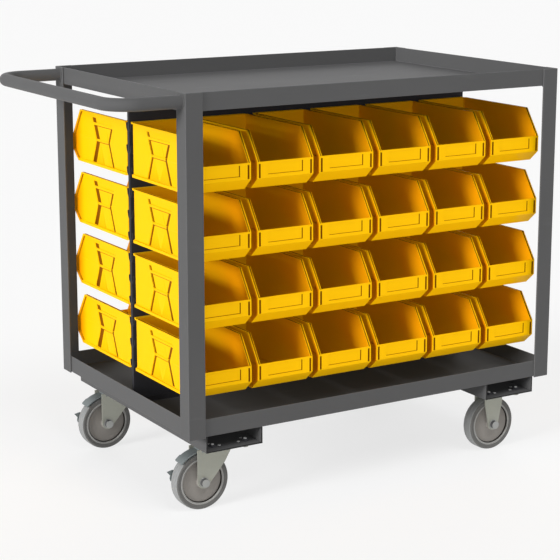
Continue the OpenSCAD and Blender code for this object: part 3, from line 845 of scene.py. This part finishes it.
class BINCART_OT_bins(bpy.types.Operator):
    """Refines one moulded bin and hangs a copy in place of each bin of the solid model"""
    bl_idname = "bincart.bins"
    bl_label = "Bins"

    def execute(self, context):
        master = self.refine(context.scene.cart_bins)
        half_turn = Matrix.Rotation(math.pi, 4, "Z")
        for row in BIN_ROWS:
            for column in BIN_COLUMNS:
                node = f"bin_front_r{row}c{column}"
                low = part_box(node)[0]
                place = Matrix.Translation((middle(node).x, low.y, low.z))
                self.hang(master, node, [place], f"bin_r{row}c{column}")
            node = f"bins_rear_r{row}"
            low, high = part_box(node)
            places = [
                Matrix.Translation((middle(f"bin_front_r1c{column}").x, high.y, low.z)) @ half_turn
                for column in BIN_COLUMNS]
            self.hang(master, node, places, f"bins_back_r{row}")
        bpy.data.meshes.remove(master)
        return {"FINISHED"}

    def hang(self, master, node, places, name):
        bm = bmesh.new()
        for place in places:
            copy = master.copy()
            copy.transform(place)
            bm.from_mesh(copy)
            bpy.data.meshes.remove(copy)
        made = piece(
            name, bm, NODES[node]["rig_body"], "bin_yellow", *BinShape.FINISHES, smooth_angle=40.0)
        even = made.modifiers.new("even shading", "WEIGHTED_NORMAL")
        even.keep_sharp = True
        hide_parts(node)

    def refine(self, look):
        """One bin with filleted insides, rounded edges and shaded recesses, and its points' places in it."""
        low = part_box("bin_front_r1c1")[0]
        bm = bmesh.new()
        bm.from_mesh(NODES["bin_front_r1c1"].data)
        bmesh.ops.translate(bm, verts=bm.verts, vec=(-middle("bin_front_r1c1").x, -low.y, -low.z))
        BinShape(bm, look)
        mesh = bpy.data.meshes.new("bin_master")
        bm.to_mesh(mesh)
        bm.free()
        spots = mesh.attributes.new("bin_spot", "FLOAT_VECTOR", "POINT")
        spots.data.foreach_set("vector", [c for v in mesh.vertices for c in v.co])
        return mesh


class BINCART_OT_channels(bpy.types.Operator):
    """Coats the caster channels and their bolts"""
    bl_idname = "bincart.channels"
    bl_label = "Channels and bolts"
    sheet, bolt_reach = 0.003, 0.0555

    def execute(self, context):
        for name in ("channel_left", "channel_right"):
            coat(NODES[name], "channel_coat")
            soften(NODES[name], 0.0006, 2)
        coat(NODES["caster_bolts"], "bolt_dark_shade")
        soften(NODES["caster_bolts"], 0.0006, 2)
        self.press_inserts()
        return {"FINISHED"}

    def press_inserts(self):
        """Plated rims of the threaded inserts in the spare holes, and the ends of the caster bolts; the rims
        take the bolts' dark grey with a painted highlight on their top rings, and the bolt ends are painted
        highlight throughout.
        """
        bm = bmesh.new()
        insert = [
            (1.4, -2.0), (4.4, -2.0), (4.4, 0.0), (5.2, 0.1), (5.4, 0.5), (5.0, 0.9), (3.7, 0.9),
            (3.4, 1.3), (1.8, 1.3), (1.4, 0.9)]
        stud = [(0.3, 4.0), (3.3, 4.0), (3.3, 6.0), (2.8, 6.6), (0.3, 6.6)]
        dark, bright = range(2)
        rim = [(r * MM, z * MM) for r, z in insert], 6 * [dark] + 3 * [bright] + [dark]
        bolt_end = [(r * MM, z * MM) for r, z in stud], 5 * [bright]
        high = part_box("caster_bolts")[1]
        for side in ("left", "right"):
            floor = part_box("channel_" + side)[0].z + self.sheet
            middle_x = middle("channel_" + side).x
            for end in (-1, 1):
                centre = Vector((middle_x, end * (high.y - self.bolt_reach), floor))
                for x, y, (profile, slots) in ((22, 49, rim), (38, 32, rim), (38, 49, bolt_end)):
                    for sx in (-x, x):
                        for sy in (-y, y):
                            turn(bm, centre + Vector((sx * MM, sy * MM, 0)), profile, 24, slots, axis="Z")
        piece("channel_inserts", bm, "cart_frame", "bolt_zinc", "bolt_dark_shade", "stud_highlight")


class BINCART_OT_casters(bpy.types.Operator):
    """Finishes the forks, plates, swivel pins, axles and pedals"""
    bl_idname = "bincart.casters"
    bl_label = "Casters"

    def execute(self, context):
        for end in ENDS:
            for name in ("swivel_fork_", "rigid_fork_", "swivel_plate_"):
                coat(NODES[name + end], "fork_zinc")
                soften(NODES[name + end], 0.0008, 3)
            coat(NODES["swivel_axle_" + end], "bolt_zinc_bright")
            soften(NODES["swivel_axle_" + end], 0.0010, 3)
            coat(NODES["brake_pedal_" + end], "pedal_zinc")
            soften(NODES["brake_pedal_" + end], 0.0006, 3)
        for name in ("kingpins", "rigid_axles"):
            coat(NODES[name], "bolt_zinc_bright")
            soften(NODES[name], 0.0010, 3)
        return {"FINISHED"}


class BINCART_OT_wheels(bpy.types.Operator):
    """Turns the tyres and cores of the four wheels and the washers beside them"""
    bl_idname = "bincart.wheels"
    bl_label = "Wheels"
    fork_face = Vector((0, -0.020, 0))

    def execute(self, context):
        segments = context.scene.cart_casters.segments
        for kind in ("swivel", "rigid"):
            for end in ENDS:
                centre = middle(f"{kind}_tyre_{end}")
                body = NODES[f"{kind}_tyre_{end}"]["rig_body"]
                self.turn_tyre(f"{kind}_tyre_{end}", centre, body, segments)
                self.turn_core(f"{kind}_core_{end}", centre, body, segments)
                carrier = f"swivel_{end}" if kind == "swivel" else "cart_frame"
                self.lay_washers(f"{kind}_washers_{end}", centre, carrier)
        return {"FINISHED"}

    def both_halves(self, half, finish_at):
        """A closed section from its half at +Y, and the finish of each of its segments."""
        points = half + [(r, -y) for r, y in reversed(half)]
        pairs = zip(points, points[1:] + points[:1])
        slots = [finish_at((one[0] + two[0]) / 2, (one[1] + two[1]) / 2) for one, two in pairs]
        return [(r * MM, y * MM) for r, y in points], slots

    def turn_tyre(self, node, centre, body, segments):
        arc = [math.radians(15 * k) for k in range(7)]
        half = [
            (45.3, 8.4), (45.5, 12.4), (46.0, 13.4), (46.9, 13.9), (48.7, 13.9), (49.7, 13.5), (50.4, 13.1),
            (51.6, 13.1), (54.6, 13.65)]
        half += [(55.8 + 4.7 * math.sin(a), 9.0 + 4.7 * math.cos(a)) for a in arc]
        half += [(60.5, 5.6), (60.25, 5.3), (60.25, 4.9), (60.5, 4.6)]

        tread, flank, bead, painted_shade = range(4)

        def finish_at(r, y):
            # Painted light on the tread, painted highlight on the bead ring and painted shade at the inner
            # edge.
            if abs(y) < 12.0 and r > 52.0:
                return tread
            return painted_shade if r < 45.6 else bead if r < 50.0 else flank
        profile, slots = self.both_halves(half, finish_at)
        bm = bmesh.new()
        turn(bm, centre, profile, segments, slots)
        made = piece(
            node + "_turned", bm, body, "tyre", "tyre_tread_lit", "tyre_flank", "tyre_bead_highlight", "wheel_shade",
            smooth_angle=50.0)
        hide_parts(node)

    def turn_core(self, node, centre, body, segments):
        half = [
            (5.05, 16.3), (12.2, 16.5), (12.9, 16.1), (13.0, 15.4), (13.0, 11.2), (13.5, 10.2), (14.6, 9.8),
            (36.0, 9.8), (37.0, 9.6), (43.2, 9.4), (44.0, 9.0), (44.3, 8.2), (44.9, 8.0)]

        plain, painted_shade = range(2)

        def finish_at(r, y):
            # Painted shade round the core's rim.
            return painted_shade if r > 43.9 else plain
        profile, slots = self.both_halves(half, finish_at)
        bm = bmesh.new()
        turn(bm, centre, profile, segments, slots)
        made = piece(
            node + "_turned", bm, body, "wheel_core", "core_grey", "wheel_shade", smooth_angle=40.0)
        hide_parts(node)

    def lay_washers(self, name, centre, body):
        """A washer on the fork, the dark sleeve of the axle's end and the bright cap on it."""
        bm = bmesh.new()
        cap = [
            (5.2, 0.1), (10.2, 0.1), (10.6, -0.2), (10.6, -0.8), (10.2, -1.1), (8.8, -1.1), (8.6, -1.4),
            (8.6, -7.8), (8.7, -8.2), (8.9, -8.6), (8.9, -9.2), (8.4, -9.8), (7.6, -10.0), (0.4, -10.2),
            (0.4, -5.4), (5.2, -5.4)]
        bright, dark = range(2)
        slots = 5 * [bright] + 3 * [dark] + 8 * [bright]
        turn(bm, centre + self.fork_face, [(r * MM, y * MM) for r, y in cap], 40, slots)
        piece(name, bm, body, "bolt_zinc", "bolt_zinc_bright", "frame_coat")


class BINCART_OT_stage(bpy.types.Operator):
    """Lays the floor and sets the camera, the lamps and the sky"""
    bl_idname = "bincart.stage"
    bl_label = "Studio"
    sensor, floor_half, floor_drop, floor_glow = 36.0, 30.0, 0.0005, 0.72

    def execute(self, context):
        studio = context.scene.cart_studio
        self.set_camera(context, studio)
        self.lay_floor(context, studio)
        self.hang_lamp(context, "side_lamp", (0.95, 0.14, -0.28), studio.side, 20.0, glossy=False)
        self.hang_lamp(context, "high_lamp", (-0.06, 0.58, -0.81), studio.high, 30.0)
        self.hang_lamp(context, "back_lamp", (-0.55, -0.80, -0.18), studio.back, 50.0, glossy=False)
        self.hang_lamp(context, "even_lamp", (0.35, 0.50, -0.79), studio.even, 40.0, shadow=False)
        self.hang_lamp(
            context, "fill_lamp", (0.42, 0.62, 0.66), studio.fill, 40.0, shadow=False, glossy=False)
        self.paint_sky(context, studio)
        context.scene.view_settings.view_transform = "Standard"
        return {"FINISHED"}

    def set_camera(self, context, studio):
        data = bpy.data.cameras.new("camera")
        data.sensor_width = self.sensor
        data.lens = studio.lens
        data.shift_y = studio.shift
        data.dof.use_dof = False
        camera = bpy.data.objects.new("camera", data)
        camera.location = studio.place
        yaw, pitch = math.radians(studio.yaw), math.radians(studio.pitch)
        ahead = Vector((
            math.sin(yaw) * math.cos(pitch), math.cos(yaw) * math.cos(pitch), -math.sin(pitch)))
        camera.rotation_euler = ahead.to_track_quat("-Z", "Y").to_euler()
        context.scene.collection.objects.link(camera)
        context.scene.camera = camera

    def lay_floor(self, context, studio):
        bm = bmesh.new()
        bmesh.ops.create_grid(bm, x_segments=8, y_segments=8, size=self.floor_half)
        mesh = bpy.data.meshes.new("floor")
        bm.to_mesh(mesh)
        bm.free()
        floor = bpy.data.objects.new("floor", mesh)
        floor.location.z = -self.floor_drop
        context.scene.collection.objects.link(floor)
        f = Finish("floor_pale", Roughness=0.9, Specular_IOR_Level=0.0)
        f.shader.inputs["Base Color"].default_value = (*studio.floor, 1.0)
        seen = f.seen_directly()
        dim = f.node("ShaderNodeBsdfDiffuse", {}, {"Color": (*studio.floor, 1.0)})
        glow = f.node("ShaderNodeEmission", {}, {"Color": (1.0, 1.0, 1.0, 1.0), "Strength": 1.0})
        lit = f.node(
            "ShaderNodeMixShader", {}, {0: self.floor_glow, 1: Wire(f, f.shader.outputs[0]), 2: glow})
        both = f.node("ShaderNodeMixShader", {}, {0: seen, 1: dim, 2: lit})
        f.feed(f.tree.nodes["Material Output"].inputs["Surface"], both)
        floor.data.materials.append(f.material)

    def hang_lamp(self, context, name, aim, level, spread, shadow=True, glossy=True):
        data = bpy.data.lights.new(name, "SUN")
        data.use_shadow = shadow
        data.energy = level * math.pi
        data.angle = math.radians(spread)
        lamp = bpy.data.objects.new(name, data)
        lamp.rotation_euler = Vector(aim).to_track_quat("-Z", "Y").to_euler()
        lamp.visible_glossy = glossy
        context.scene.collection.objects.link(lamp)

    def paint_sky(self, context, studio):
        world = bpy.data.worlds.new("studio_sky")
        context.scene.world = world
        sky = Graph(world)
        back = sky.tree.nodes["Background"]
        back.inputs["Color"].default_value = (1.0, 1.0, 1.0, 1.0)
        sky.feed(back.inputs["Strength"], studio.sky + (1.0 - studio.sky) * sky.seen_directly())


class BINCART_PT_pieces(bpy.types.Panel):
    """Lists the pieces of the cart"""
    bl_idname = "BINCART_PT_pieces"
    bl_label = "Bin cart"
    bl_space_type = "VIEW_3D"
    bl_region_type = "UI"
    bl_category = "Bin cart"

    def draw(self, context):
        for operator in OPERATORS:
            self.layout.operator(operator.bl_idname)
        for group in (name for name, _ in GROUPS):
            box = self.layout.box()
            owner = getattr(context.scene, group)
            for key in owner.__annotations__:
                box.prop(owner, key)


OPERATORS = (
    BINCART_OT_stage, BINCART_OT_frame, BINCART_OT_handle, BINCART_OT_panels, BINCART_OT_bins,
    BINCART_OT_channels, BINCART_OT_casters, BINCART_OT_wheels)
GROUPS = (
    ("cart_paint", CartPaint), ("cart_bins", BinFinish), ("cart_casters", CasterFinish),
    ("cart_studio", Studio))


def register():
    for name, group in GROUPS:
        bpy.utils.register_class(group)
        setattr(bpy.types.Scene, name, PointerProperty(type=group))
    for operator in OPERATORS:
        bpy.utils.register_class(operator)
    bpy.utils.register_class(BINCART_PT_pieces)


def unregister():
    bpy.utils.unregister_class(BINCART_PT_pieces)
    for operator in reversed(OPERATORS):
        bpy.utils.unregister_class(operator)
    for name, group in reversed(GROUPS):
        delattr(bpy.types.Scene, name)
        bpy.utils.unregister_class(group)


def main():
    register()
    bpy.ops.bincart.stage()
    bpy.ops.bincart.frame()
    bpy.ops.bincart.handle()
    bpy.ops.bincart.panels()
    bpy.ops.bincart.bins()
    bpy.ops.bincart.channels()
    bpy.ops.bincart.casters()
    bpy.ops.bincart.wheels()


if __name__ == "__main__":
    main()
